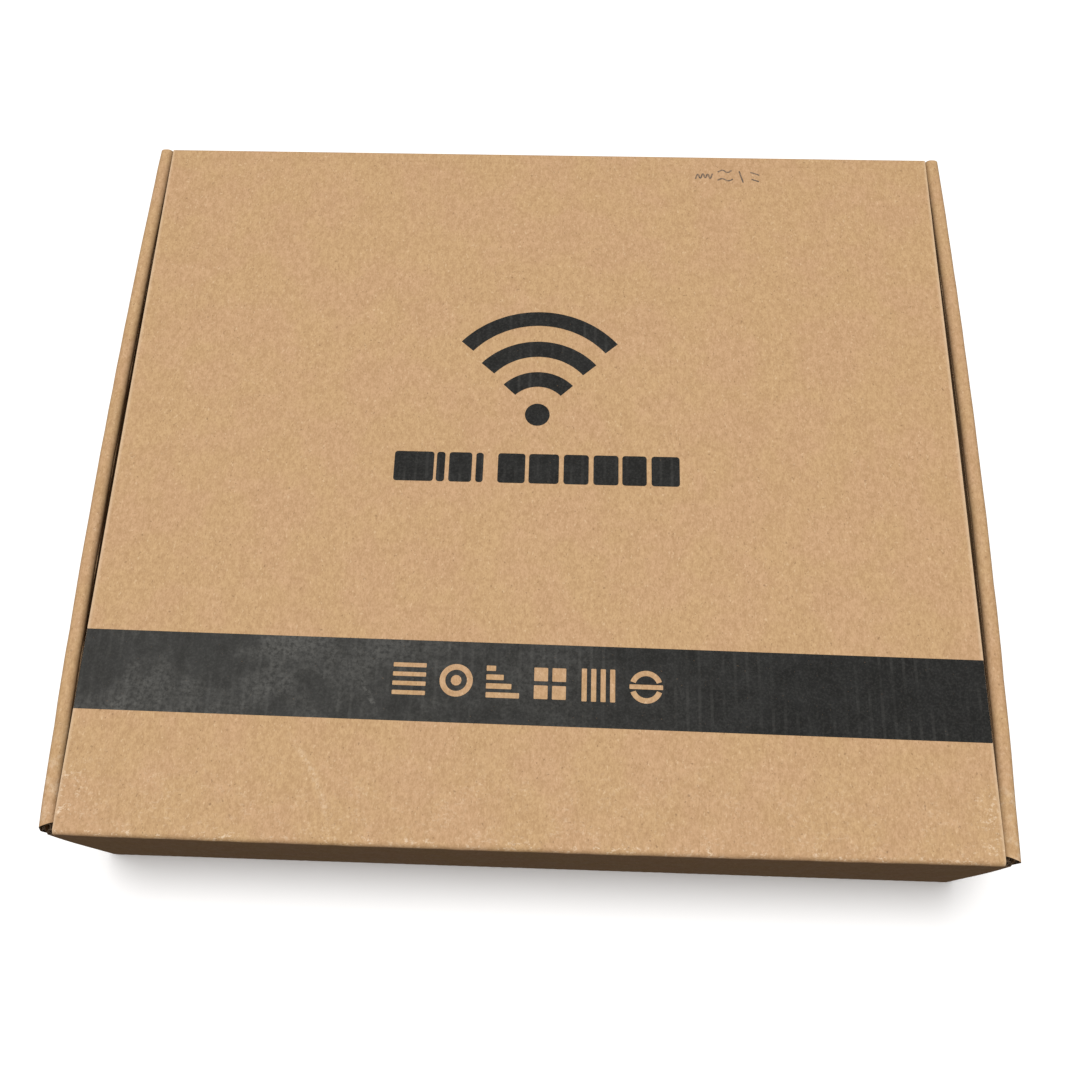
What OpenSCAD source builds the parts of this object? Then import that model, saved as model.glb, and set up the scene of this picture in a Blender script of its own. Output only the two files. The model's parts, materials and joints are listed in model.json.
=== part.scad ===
// Die-cut corrugated mailer carton for a wifi router, with its insert and the router packed inside.
// +X is to the right, -Y is the front with the tuck flap, +Z is up. The origin is under the middle of the base.

/* [Carton] */
// Outside width, left to right, where the side walls bulge most
carton_w = 263; // [250:1:290]
// Outside depth, front to back
carton_d = 225; // [215:1:250]
// Outside height with the lid shut
carton_h = 54; // [50:1:60]
// Thickness of the corrugated board
board = 1.5; // [1.3:0.1:1.6]
// How far each side wall bulges out half way along
side_bow = 1.7; // [0.5:0.1:2.5]
// Gap between the lid's side edge and the rolled top of the side wall, at its ends
lid_side_gap = 0.5; // [0.4:0.1:0.8]
// How far the corner flaps run along the side walls
corner_flap_l = 60; // [40:1:90]

/* [Lid] */
// Height of the tuck flap at the lid's front
tuck_h = 38; // [30:1:38]
// Angle by which the shut tuck flap leans inwards
tuck_lean = 8; // [6:1:9]
// Length of the ear at each end of the tuck flap
ear_l = 28; // [20:1:30]
// Slope of the ear's top edge
ear_slope = 34; // [34:1:40]
// Space left for the creases between the tuck flap and its ears
ear_gap = 3; // [2.8:0.1:4]

/* [Insert] */
// Height of the insert's deck above the base
deck_z = 34; // [30:1:36]
// Distance from the carton's front to the insert
insert_setback = 38.5; // [38:0.5:45]
// Width of the accessory bay's window
bay_w = 90; // [80:1:96]
// Depth of the accessory bay's window
bay_d = 140; // [120:1:150]

/* [Router] */
// Width and depth of the router's case
router_w = 118; // [112:1:120]
// Height of the case above its feet
router_h = 37.5; // [36:0.5:39]
// Corner radius of the case in plan
router_r = 26; // [20:1:30]
// Wall thickness of the case
shell_t = 2; // [1.8:0.1:2.4]
// Travel of the pairing button
button_travel = 0.6; // [0.4:0.1:0.8]

/* [Hidden] */
$fn = 48;

kraft = "burlywood";
kraft_edge = "tan";

// Carton faces and creases
half_w = carton_w / 2;
half_d = carton_d / 2;
end_half_w = half_w - side_bow;
wall_top = carton_h - board - 0.3;
flap_t = board - 0.3;
side_layers = 2 * board + flap_t + 0.1;
side_front = -half_d + 1.7;
side_l = carton_d - 3.4;
roll_h = 2;
bow_r = pow(side_l / 2, 2) / (2 * side_bow) + side_bow / 2;
bow_segments = 1440;
inner_face = end_half_w - side_layers;
lid_half_w = inner_face - lid_side_gap;
lid_y = half_d - board / 2;
lid_z = carton_h - board / 2;
lid_front = -half_d + 0.2;
tab_l = 30;
tab_pitch = 110;
slot_play = 0.1;

// Tuck flap crease, in the carton's frame
tuck_y = -half_d + board + 0.4 + board / 2;
tuck_z = carton_h - board - 0.2 - board / 2;
ear_x = inner_face - 0.4 - board / 2;
tuck_half_w = ear_x - ear_gap;

// Insert
insert_half_w = inner_face - 0.3;
insert_front = -half_d + insert_setback;
insert_back = half_d - board - 0.3;
bay_x = 65;
bay_y = 18;
divider_x = 9;
leaflet = [84, 124, 1.2];

// Router, in the carton's frame
router_x = -56;
router_y = 18;
foot_h = 1.5;
router_z = board + foot_h;
seam_z = router_z + 11;
pcb_z = router_z + 6;
pcb_t = 1.6;
pcb_w = router_w - 16;
pcb_top = pcb_z + pcb_t;
can_h = 2.6;
jack = [15.6, 18, 13.2];
jack_mouth = [12, 14, 8.4];
jack_x = [-22, -4];
jack_z = pcb_top;
jack_y = router_w / 2 - shell_t - 0.2 - jack[1];
power_x = 14;
power_body = [10, 14, 11];
power_r = 2.9;
button_x = 32;
button_z = router_z + 22;
button_r = 4;
button_proud = 1.2;
boss_xy = router_w / 2 - 20;
screw_r = 1.5;
shell_gap = 0.2;

// Shared shapes

module on_side(side) {
    if (side < 0) mirror([1, 0, 0]) children();
    else children();
}

module panel(corner, size) {
    translate(corner) cube(size);
}

module along_x(half_l) {
    translate([-half_l, 0, 0]) rotate([90, 0, 90]) linear_extrude(2 * half_l) children();
}

module rounded_square(w, r, segments = 48) {
    square([w, w - 2 * r], center = true);
    square([w - 2 * r, w], center = true);
    for (sx = [-1, 1], sy = [-1, 1])
        translate([sx * (w / 2 - r), sy * (w / 2 - r)]) circle(r = r, $fn = segments);
}

module in_router() {
    translate([router_x, router_y, 0]) children();
}

// Plan of a strip in the side wall's curve: x is its inner face where the wall ends, t its thickness
module bowed_strip(x, t, y0, y1) {
    intersection() {
        translate([x + t + side_bow - bow_r, 0]) difference() {
            circle(r = bow_r, $fn = bow_segments);
            circle(r = bow_r - t, $fn = bow_segments);
        }
        translate([x - t, y0]) square([2 * t + side_bow + 1, y1 - y0]);
    }
}

module bowed_wall(x, t, y0, y1, z0, z1) {
    translate([0, 0, z0]) linear_extrude(z1 - z0) bowed_strip(x, t, y0, y1);
}

// A front or back wall with round vertical corners, standing on the base
module end_wall(top) {
    straight = end_half_w - board - board;
    panel([-straight, -half_d, board], [2 * straight, board, top - board]);
    for (side = [-1, 1]) on_side(side)
        translate([straight, -half_d + board, board])
            intersection() {
                cylinder(r = board, h = top - board);
                translate([0, -board, 0]) cube([board, board, top - board]);
            }
}

module corner_flap(side, end) {
    x = end_half_w - board - flap_t;
    y = end < 0 ? -half_d + board : half_d - board - corner_flap_l;
    color(kraft) on_side(side)
        bowed_wall(x, flap_t, y, y + corner_flap_l, board, wall_top - 2);
}

// Carton walls

module base_panel() {
    slot_l = tab_l + 2;
    slot_w = board + 2 * slot_play;
    color(kraft) difference() {
        linear_extrude(board) intersection() {
            square([carton_w, carton_d], center = true);
            translate([half_w - bow_r, 0]) circle(r = bow_r, $fn = bow_segments);
            translate([bow_r - half_w, 0]) circle(r = bow_r, $fn = bow_segments);
        }
        for (side = [-1, 1], y = [-tab_pitch / 2, tab_pitch / 2]) on_side(side)
            bowed_wall(inner_face - slot_play, slot_w, y - slot_l / 2, y + slot_l / 2, -1, board + 1);
    }
}

module front_wall() {
    color(kraft) end_wall(wall_top);
}

module back_wall() {
    color(kraft) mirror([0, 1, 0]) end_wall(wall_top);
}

module outer_wall(side) {
    x = end_half_w - board;
    color(kraft) on_side(side)
        bowed_wall(x, board, side_front, side_front + side_l, board, carton_h - roll_h);
}

// The strip that rolls over the top of the side wall, with two rounded creases
module roll_over(side) {
    r = board;
    sweep = 2 * asin(side_l / 2 / bow_r);
    color(kraft) on_side(side) translate([half_w - bow_r, 0, carton_h - roll_h])
        rotate(-sweep / 2) rotate_extrude(angle = sweep, $fn = bow_segments)
        translate([bow_r - side_layers, 0]) {
            square([side_layers, roll_h - r]);
            translate([r, 0]) square([side_layers - 2 * r, roll_h]);
            translate([r, roll_h - r]) intersection() {
                circle(r = r);
                translate([-r, 0]) square([r, r]);
            }
            translate([side_layers - r, roll_h - r]) intersection() {
                circle(r = r);
                square([r, r]);
            }
        }
}

module inner_wall(side) {
    color(kraft) on_side(side) {
        bowed_wall(inner_face, board, side_front, side_front + side_l, board, carton_h - roll_h);
        for (y = [-tab_pitch / 2, tab_pitch / 2])
            bowed_wall(inner_face, board, y - tab_l / 2, y + tab_l / 2, 0.3, board + 0.3);
    }
}

// Lid, tuck flap and ears

module lid_panel() {
    r = board / 2;
    color(kraft) {
        panel([-lid_half_w, lid_front + r, lid_z - r], [2 * lid_half_w, lid_y - lid_front - r, board]);
        translate([0, lid_y, lid_z]) along_x(lid_half_w) circle(r = r);
        translate([0, lid_front + r, lid_z]) along_x(lid_half_w) circle(r = r);
    }
}

// Places a shape drawn hanging straight down from the tuck flap's crease
module at_tuck_crease() {
    translate([0, tuck_y, tuck_z]) rotate([tuck_lean, 0, 0]) children();
}

module tuck_flap() {
    r = board / 2;
    corner = 8;
    color(kraft) at_tuck_crease() {
        along_x(tuck_half_w) circle(r = r);
        translate([0, r, 0]) rotate([90, 0, 0]) linear_extrude(board) {
            translate([-tuck_half_w, -tuck_h + corner]) square([2 * tuck_half_w, tuck_h - corner]);
            translate([-tuck_half_w + corner, -tuck_h]) square([2 * (tuck_half_w - corner), corner]);
            for (side = [-1, 1])
                translate([side * (tuck_half_w - corner), -tuck_h + corner]) circle(r = corner);
        }
    }
}

module ear(side) {
    r = board / 2;
    top = 3;
    foot = tuck_h - 3;
    color(kraft_edge) on_side(side) at_tuck_crease() translate([ear_x, 0, 0]) {
        translate([0, 0, -foot]) cylinder(r = r, h = foot - top);
        translate([-r, 0, 0]) rotate([90, 0, 90]) linear_extrude(board)
            polygon([
                [0, -foot],
                [ear_l - 6, -foot],
                [ear_l, -foot + 6],
                [ear_l, -top - ear_l * tan(ear_slope)],
                [0, -top]
            ]);
    }
}

// Insert

module insert_deck() {
    color(kraft) difference() {
        panel(
            [-insert_half_w, insert_front, deck_z],
            [2 * insert_half_w, insert_back - insert_front, board]
        );
        translate([router_x, router_y, deck_z - 1]) linear_extrude(board + 2)
            rounded_square(router_w + 2, router_r + 1);
        panel([bay_x - bay_w / 2, bay_y - bay_d / 2, deck_z - 1], [bay_w, bay_d, board + 2]);
    }
}

module insert_leg_across(y) {
    x = insert_half_w - board;
    color(kraft) panel([-x, y, board], [2 * x, board, deck_z - board]);
}

module insert_leg_along(x) {
    color(kraft) panel([x, insert_front, board], [board, insert_back - insert_front, deck_z - board]);
}

module insert_divider() {
    y = insert_front + board;
    color(kraft) panel([divider_x, y, board], [board, insert_back - board - y, deck_z - board]);
}

module quick_start_leaflet() {
    corner = [bay_x - leaflet[0] / 2, bay_y - leaflet[1] / 2, board];
    color("whitesmoke") panel(corner, leaflet);
}

// Router

// A closed case form with a softened top edge, shrunk by inset on every side
module case_form(z0, z1, inset) {
    w = router_w - 2 * inset;
    r = router_r - inset;
    slab = 0.5;
    hull() {
        translate([0, 0, z0]) linear_extrude(z1 - 6 - z0) rounded_square(w, r, 32);
        translate([0, 0, z1 - 2.5]) linear_extrude(slab) rounded_square(w - 3, r - 1.5, 32);
        translate([0, 0, z1 - slab]) linear_extrude(slab) rounded_square(w - 10, r - 5, 32);
    }
}

module router_top_shell() {
    roof = router_z + router_h;
    color("white") in_router() difference() {
        case_form(seam_z, roof, 0);
        case_form(seam_z - 1, roof - shell_t, shell_t);
        router_ports();
        translate([button_x, router_w / 2 - 5, button_z]) rotate([-90, 0, 0])
            cylinder(r = button_r + 0.3, h = 8);
        translate([0, -router_w / 2 + 14, roof - 4]) cylinder(r = 2, h = 6);
    }
}

// Windows for the jacks through the back of the case
module router_ports() {
    y = router_w / 2 - shell_t - 1;
    for (x = jack_x)
        panel(
            [x - jack[0] / 2 - shell_gap, y, jack_z - shell_gap],
            [jack[0] + 2 * shell_gap, shell_t + 2, jack[2] + 2 * shell_gap]
        );
    translate([power_x, y, jack_z + power_body[2] / 2]) rotate([-90, 0, 0])
        cylinder(r = power_r + 1, h = shell_t + 2);
}

module router_bottom_shell() {
    color("gainsboro") in_router() difference() {
        union() {
            difference() {
                translate([0, 0, router_z]) linear_extrude(seam_z - router_z - 0.05)
                    rounded_square(router_w, router_r);
                translate([0, 0, router_z + shell_t]) linear_extrude(seam_z)
                    rounded_square(router_w - 2 * shell_t, router_r - shell_t);
            }
            for (sx = [-1, 1], sy = [-1, 1])
                translate([sx * boss_xy, sy * boss_xy, router_z])
                    cylinder(r = 3.5, h = pcb_z - router_z);
        }
        router_ports();
        for (sx = [-1, 1], sy = [-1, 1])
            translate([sx * boss_xy, sy * boss_xy, router_z - 1])
                cylinder(r = screw_r, h = 10);
        for (i = [-4:4])
            panel([i * 7 - 1.2, -22, router_z - 1], [2.4, 44, shell_t + 2]);
    }
}

module router_circuit_board() {
    color("darkgreen") in_router() translate([0, 0, pcb_z]) linear_extrude(pcb_t) difference() {
        rounded_square(pcb_w, 16);
        for (sx = [-1, 1], sy = [-1, 1])
            translate([sx * boss_xy, sy * boss_xy]) circle(r = screw_r + 0.3);
    }
}

module router_shield_cans() {
    color("silver") in_router() {
        panel([-32, -24, pcb_top], [30, 34, can_h]);
        panel([4, -24, pcb_top], [28, 26, can_h]);
    }
}

module router_heat_spreader() {
    color("lightgray") in_router() translate([0, 0, pcb_top + can_h]) {
        panel([-34, -28, 0], [68, 40, 1.6]);
        for (i = [0:8])
            panel([-34 + i * 8.3, -28, 1.6], [1.6, 40, 6]);
    }
}

// An antenna blade standing on the edge of the circuit board
module antenna_blade(length) {
    color("goldenrod") {
        panel([-length / 2, -0.4, pcb_top], [length, 0.8, 17]);
        for (sx = [-1, 1])
            panel([sx * length / 3 - 2, -1.4, pcb_top], [4, 1, 4]);
    }
}

module router_side_antenna(side) {
    in_router() translate([side * (pcb_w / 2 - 2.4), -4, 0]) rotate([0, 0, -90 * side])
        antenna_blade(46);
}

module router_front_antenna() {
    in_router() translate([0, -(pcb_w / 2 - 2.4), 0]) rotate([0, 0, 180])
        antenna_blade(46);
}

module router_network_jacks() {
    color("dimgray") in_router()
        for (x = jack_x) translate([x, jack_y, jack_z]) difference() {
            panel([-jack[0] / 2, 0, 0], jack);
            panel(
                [-jack_mouth[0] / 2, jack[1] - jack_mouth[1], 2.4],
                [jack_mouth[0], jack_mouth[1] + 1, jack_mouth[2]]
            );
        }
}

module router_power_jack() {
    depth = power_body[1];
    color("black") in_router()
        translate([power_x, router_w / 2 - shell_t - 0.2 - depth, jack_z]) {
            difference() {
                panel([-power_body[0] / 2, 0, 0], power_body);
                translate([0, 4, power_body[2] / 2]) rotate([-90, 0, 0])
                    cylinder(r = power_r, h = depth);
            }
            translate([0, 3, power_body[2] / 2]) rotate([-90, 0, 0])
                cylinder(r = 1, h = depth - 4.5);
        }
}

module router_status_lens() {
    roof = router_z + router_h;
    color("aliceblue") in_router() translate([0, -router_w / 2 + 14, roof - 7])
        cylinder(r = 1.95, h = 7);
}

module router_pair_button() {
    face_y = router_w / 2 + button_proud;
    color("silver") in_router() translate([button_x, face_y, button_z]) rotate([90, 0, 0]) {
        cylinder(r = button_r, h = 5.2);
        translate([0, 0, 4.2]) cylinder(r = button_r + 1, h = 1);
    }
}

module router_pair_switch() {
    back = router_w / 2 + button_proud - 5.2 - button_travel - 0.1;
    color("black") in_router() {
        panel([button_x - 4, back - 5, pcb_top], [8, 5, button_z + 4 - pcb_top]);
    }
}

module router_rubber_feet() {
    color("dimgray") in_router()
        for (sx = [-1, 1], sy = [-1, 1])
            translate([sx * boss_xy, sy * boss_xy, board]) cylinder(r = 6, h = foot_h);
}

module router_screws() {
    color("silver") in_router()
        for (sx = [-1, 1], sy = [-1, 1]) translate([sx * boss_xy, sy * boss_xy, 0]) {
            translate([0, 0, router_z]) cylinder(r = screw_r, h = pcb_top - router_z);
            translate([0, 0, pcb_top]) cylinder(r = 2.8, h = 1.4);
        }
}

base_panel();
front_wall();
back_wall();
outer_wall(-1);  // left_outer_wall
outer_wall(1);  // right_outer_wall
roll_over(-1);  // left_roll_over
roll_over(1);  // right_roll_over
inner_wall(-1);  // left_inner_wall
inner_wall(1);  // right_inner_wall
corner_flap(-1, -1);  // front_left_corner_flap
corner_flap(1, -1);  // front_right_corner_flap
corner_flap(-1, 1);  // back_left_corner_flap
corner_flap(1, 1);  // back_right_corner_flap
lid_panel();
tuck_flap();
ear(-1);  // left_ear
ear(1);  // right_ear
insert_deck();
insert_leg_across(insert_front);  // insert_front_leg
insert_leg_across(insert_back - board);  // insert_back_leg
insert_leg_along(-insert_half_w);  // insert_left_leg
insert_leg_along(insert_half_w - board);  // insert_right_leg
insert_divider();
quick_start_leaflet();
router_bottom_shell();
router_top_shell();
router_circuit_board();
router_shield_cans();
router_heat_spreader();
router_side_antenna(-1);  // router_left_antenna
router_side_antenna(1);  // router_right_antenna
router_front_antenna();
router_network_jacks();
router_power_jack();
router_status_lens();
router_pair_button();
router_pair_switch();
router_rubber_feet();
router_screws();
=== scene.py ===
"""Looks of a wifi router's kraft mailer carton: corrugated board, printed lid, insert, and the router inside.

Shapes are built in millimetres, from the boxes of the CAD model's nodes, and scaled to metres once.
"""
import json
import math

import bmesh
import bpy
import numpy as np
from mathutils import Matrix, Vector


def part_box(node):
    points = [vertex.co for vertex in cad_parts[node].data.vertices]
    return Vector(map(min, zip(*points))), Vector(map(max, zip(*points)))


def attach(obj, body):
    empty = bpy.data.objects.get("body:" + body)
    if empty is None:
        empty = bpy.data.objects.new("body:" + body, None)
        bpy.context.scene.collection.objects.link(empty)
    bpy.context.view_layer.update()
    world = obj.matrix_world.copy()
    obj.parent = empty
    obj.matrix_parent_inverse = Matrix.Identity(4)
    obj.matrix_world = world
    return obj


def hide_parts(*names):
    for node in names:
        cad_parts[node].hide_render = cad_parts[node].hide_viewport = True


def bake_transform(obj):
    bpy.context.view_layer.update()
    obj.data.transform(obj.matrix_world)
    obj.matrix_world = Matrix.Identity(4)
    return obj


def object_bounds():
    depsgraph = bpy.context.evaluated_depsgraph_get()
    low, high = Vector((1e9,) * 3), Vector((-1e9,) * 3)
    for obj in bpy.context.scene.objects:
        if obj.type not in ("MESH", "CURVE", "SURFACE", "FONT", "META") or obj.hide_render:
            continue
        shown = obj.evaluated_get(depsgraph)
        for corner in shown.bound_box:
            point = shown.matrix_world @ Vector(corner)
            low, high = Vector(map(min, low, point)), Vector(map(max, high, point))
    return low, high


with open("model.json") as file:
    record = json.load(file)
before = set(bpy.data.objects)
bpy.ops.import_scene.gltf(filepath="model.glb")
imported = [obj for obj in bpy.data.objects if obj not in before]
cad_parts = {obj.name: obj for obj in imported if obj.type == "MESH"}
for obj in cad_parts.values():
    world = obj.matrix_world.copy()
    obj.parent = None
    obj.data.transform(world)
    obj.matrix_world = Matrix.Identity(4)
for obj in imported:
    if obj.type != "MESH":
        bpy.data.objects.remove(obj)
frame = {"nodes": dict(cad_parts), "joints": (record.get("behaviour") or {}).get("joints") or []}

cad_low, cad_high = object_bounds()

MM = 0.001


def box_mm(node):
    """Lowest and highest corner of a CAD node, in millimetres."""
    low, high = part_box(node)
    return np.array(low) / MM, np.array(high) / MM


def middle_mm(node):
    low, high = box_mm(node)
    return (low + high) / 2


# ---- sizes, from the frame

HIGH = np.array(cad_high) / MM
HALF_W = HIGH[0]
HALF_D = HIGH[1]
TOP = HIGH[2]
BOARD = box_mm("base_panel")[1][2]
HALF = BOARD / 2
WALL_TOP = box_mm("front_wall")[1][2]
LID_LOW, LID_HIGH = box_mm("lid_panel")
CORNER_X = box_mm("front_wall")[1][0]
SIDE_LOW, SIDE_HIGH = box_mm("right_outer_wall")
INNER_HIGH = box_mm("right_inner_wall")[1]
DECK_LOW, DECK_HIGH = box_mm("insert_deck")

PITCH = 3.3          # one wave of the fluted medium
LINER = 0.2          # thickness of a liner
MEDIUM = 0.18        # thickness of the medium
RIB = 0.035          # depth of the ribs that print through the liners
BOW = HALF_W - CORNER_X - BOARD   # how far the side walls bulge half way along
LID_BOW = 0.3        # how far the lid's side edges do
LID_DROP = 0.06      # the lid's liner lies this far under the top of the box
FILM = 0.015         # height of dry ink above the liner


def joint(name):
    """Axis point in millimetres and direction of a joint."""
    found = next(j for j in frame["joints"] if j["name"] == name)
    return np.array(found["pos_m"]) / MM, np.array(found["axis"])


TUCK_AT = joint("tuck_crease")[0]
EAR_AXIS = joint("right_ear_crease")[1]
EAR_X = joint("right_ear_crease")[0][0]
LEAN = math.atan2(-EAR_AXIS[1], EAR_AXIS[2])


# ---- camera, light and floor

def add(name, data):
    """A new object in the scene."""
    made = bpy.data.objects.new(name, data)
    bpy.context.scene.collection.objects.link(made)
    return made


CAMERA_AT = Vector((0.0065, -0.1380, 0.3513))
CAMERA_AZIMUTH = 4.86
CAMERA_ELEVATION = 69.37
CAMERA_ROLL = -3.12
CAMERA_LENS = 36.69
CAMERA_SHIFT = (0.0163, 0.0039)

FILL_COLOUR = (1.0, 0.89, 0.80, 1)
FILL_STRENGTH = 0.14
SUN_ENERGY = 3.46
SUN_SPREAD = 30      # degrees across, which makes its shadows soft
SUN_TILT = (-5, -4)  # degrees about X and Y


def make_camera():
    azimuth = math.radians(CAMERA_AZIMUTH)
    elevation = math.radians(CAMERA_ELEVATION)
    roll = math.radians(CAMERA_ROLL)
    forward = Vector((
        -math.sin(azimuth) * math.cos(elevation),
        math.cos(azimuth) * math.cos(elevation),
        -math.sin(elevation),
    ))
    level = forward.cross(Vector((0, 0, 1))).normalized()
    upright = level.cross(forward)
    right = math.cos(roll) * level + math.sin(roll) * upright
    up = math.cos(roll) * upright - math.sin(roll) * level
    data = bpy.data.cameras.new("camera")
    data.sensor_width = 36
    data.lens = CAMERA_LENS
    data.shift_x, data.shift_y = CAMERA_SHIFT
    data.clip_start = 0.01
    data.clip_end = 50
    camera = add("camera", data)
    turn = Matrix((right, up, -forward)).transposed()
    camera.matrix_world = Matrix.Translation(CAMERA_AT) @ turn.to_4x4()
    bpy.context.scene.camera = camera


def make_light():
    """A wide soft light from overhead, tilted a little from behind, and a weak even fill."""
    world = bpy.data.worlds.new("studio")
    bpy.context.scene.world = world
    world.use_nodes = True
    background = world.node_tree.nodes["Background"]
    background.inputs["Color"].default_value = FILL_COLOUR
    background.inputs["Strength"].default_value = FILL_STRENGTH
    data = bpy.data.lights.new("overhead", "SUN")
    data.energy = SUN_ENERGY
    data.angle = math.radians(SUN_SPREAD)
    light = add("overhead", data)
    light.rotation_euler = (math.radians(SUN_TILT[0]), math.radians(SUN_TILT[1]), 0)
    bpy.context.scene.view_settings.view_transform = "Standard"


# ---- materials

class Shader:
    """A node material. Each method adds nodes and returns the socket that they end in."""

    def __init__(self, name):
        self.material = bpy.data.materials.new(name)
        self.material.use_nodes = True
        self.tree = self.material.node_tree
        self.bsdf = self.tree.nodes["Principled BSDF"]
        self.place = self.node("ShaderNodeTexCoord").outputs["Object"]

    def node(self, kind, **settings):
        made = self.tree.nodes.new(kind)
        for key, value in settings.items():
            setattr(made, key, value)
        return made

    def feed(self, socket, value):
        if isinstance(value, bpy.types.NodeSocket):
            self.tree.links.new(value, socket)
        else:
            socket.default_value = value

    def set(self, **values):
        for key, value in values.items():
            self.feed(self.bsdf.inputs[key.replace("_", " ")], value)
        return self.material

    def stretched(self, stretch):
        scaled = self.node("ShaderNodeVectorMath", operation="MULTIPLY")
        self.feed(scaled.inputs[0], self.place)
        self.feed(scaled.inputs[1], stretch)
        return scaled.outputs[0]

    def noise(self, scale, detail=2.0, roughness=0.5, stretch=None):
        made = self.node("ShaderNodeTexNoise")
        self.feed(made.inputs["Vector"], self.stretched(stretch) if stretch else self.place)
        self.feed(made.inputs["Scale"], scale)
        self.feed(made.inputs["Detail"], detail)
        self.feed(made.inputs["Roughness"], roughness)
        return made.outputs[0]

    def math(self, operation, a, b=0.0):
        made = self.node("ShaderNodeMath", operation=operation)
        self.feed(made.inputs[0], a)
        self.feed(made.inputs[1], b)
        return made.outputs[0]

    def times(self, a, b):
        return self.math("MULTIPLY", a, b)

    def ramp(self, value, low, high, start=0.0, end=1.0):
        """start below low, end above high, and a smooth step between."""
        made = self.node("ShaderNodeMapRange", interpolation_type="SMOOTHSTEP")
        for socket, number in zip(made.inputs[:5], (value, low, high, start, end)):
            self.feed(socket, number)
        return made.outputs[0]

    def mix(self, factor, a, b, blend="MIX"):
        made = self.node("ShaderNodeMix", data_type="RGBA", blend_type=blend)
        self.feed(made.inputs["Factor"], factor)
        self.feed(made.inputs[6], a)
        self.feed(made.inputs[7], b)
        return made.outputs[2]

    def axis(self, index):
        """One coordinate, in millimetres."""
        split = self.node("ShaderNodeSeparateXYZ")
        self.feed(split.inputs[0], self.place)
        return self.times(split.outputs[index], 1 / MM)

    def bump(self, height, distance, strength=1.0):
        made = self.node("ShaderNodeBump")
        self.feed(made.inputs["Height"], height)
        self.feed(made.inputs["Distance"], distance)
        self.feed(made.inputs["Strength"], strength)
        return made.outputs[0]


def grey(value):
    return (value, value, value, 1)


KRAFT_TAN = (0.548, 0.358, 0.182, 1)
KRAFT_PINK = (0.553, 0.348, 0.194, 1)
KRAFT_BROWN = (0.380, 0.222, 0.103, 1)
KRAFT_DARK = (0.180, 0.095, 0.042, 1)
KRAFT_LIGHT = (0.720, 0.530, 0.330, 1)
ALONG_Y = (1.0, 0.55, 1.0)
ALONG_Z = (1.0, 1.0, 0.55)
WORN_LID = (0.80, 0.64, 0.46, 1)
WORN_RIDGE = (0.80, 0.66, 0.49, 1)


def kraft_paper(s, grain, shade=1.0):
    """Colour and height of kraft liner: faintly mottled pulp, short fibres, and dark and light specks."""
    tan, pink, brown = (
        [c * shade for c in colour[:3]] + [1]
        for colour in (KRAFT_TAN, KRAFT_PINK, KRAFT_BROWN)
    )
    base = s.mix(s.ramp(s.noise(60, 3, 0.6), 0.38, 0.64), tan, pink)
    pulp = s.noise(1050, 4, 0.72, grain)
    fibres = s.noise(2300, 3, 0.6, grain)
    cloud = s.noise(150, 3, 0.6)
    uneven = s.math("ADD", s.times(pulp, 0.55), s.times(fibres, 0.35))
    uneven = s.math("ADD", uneven, s.times(cloud, 0.06))
    base = s.mix(s.ramp(uneven, 0.64, 0.33, 0.0, 0.84), base, brown)
    dark = s.ramp(s.noise(1400, 2, 0.5, (1.0, 0.7, 1.0)), 0.67, 0.74, 0.0, 0.5)
    base = s.mix(dark, base, KRAFT_DARK)
    light = s.ramp(s.noise(1400, 2, 0.55, grain), 0.63, 0.74, 0.0, 0.40)
    base = s.mix(light, base, KRAFT_LIGHT)
    height = s.math("ADD", s.times(pulp, 0.6), s.times(fibres, 0.5))
    return base, height


def kraft(name, grain=ALONG_Y, shade=1.0):
    """Kraft liner, rubbed lighter on top of the side walls towards their front ends."""
    s = Shader(name)
    colour, height = kraft_paper(s, grain, shade)
    upper = s.ramp(s.axis(2), TOP - 3, TOP - 1.5)
    ridge = s.times(upper, s.ramp(s.axis(1), -70, -HALF_D + 6))
    rubbed = s.times(ridge, s.ramp(s.noise(420, 4, 0.7), 0.50, 0.64))
    colour = s.mix(s.times(rubbed, 0.26), colour, WORN_RIDGE)
    rough = s.ramp(s.noise(260, 3, 0.6, grain), 0.3, 0.7, 0.62, 0.86)
    relief = s.bump(height, 0.00009, 0.55)
    return s.set(Base_Color=colour, Roughness=rough, Specular_IOR_Level=0.32, Normal=relief)


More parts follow.
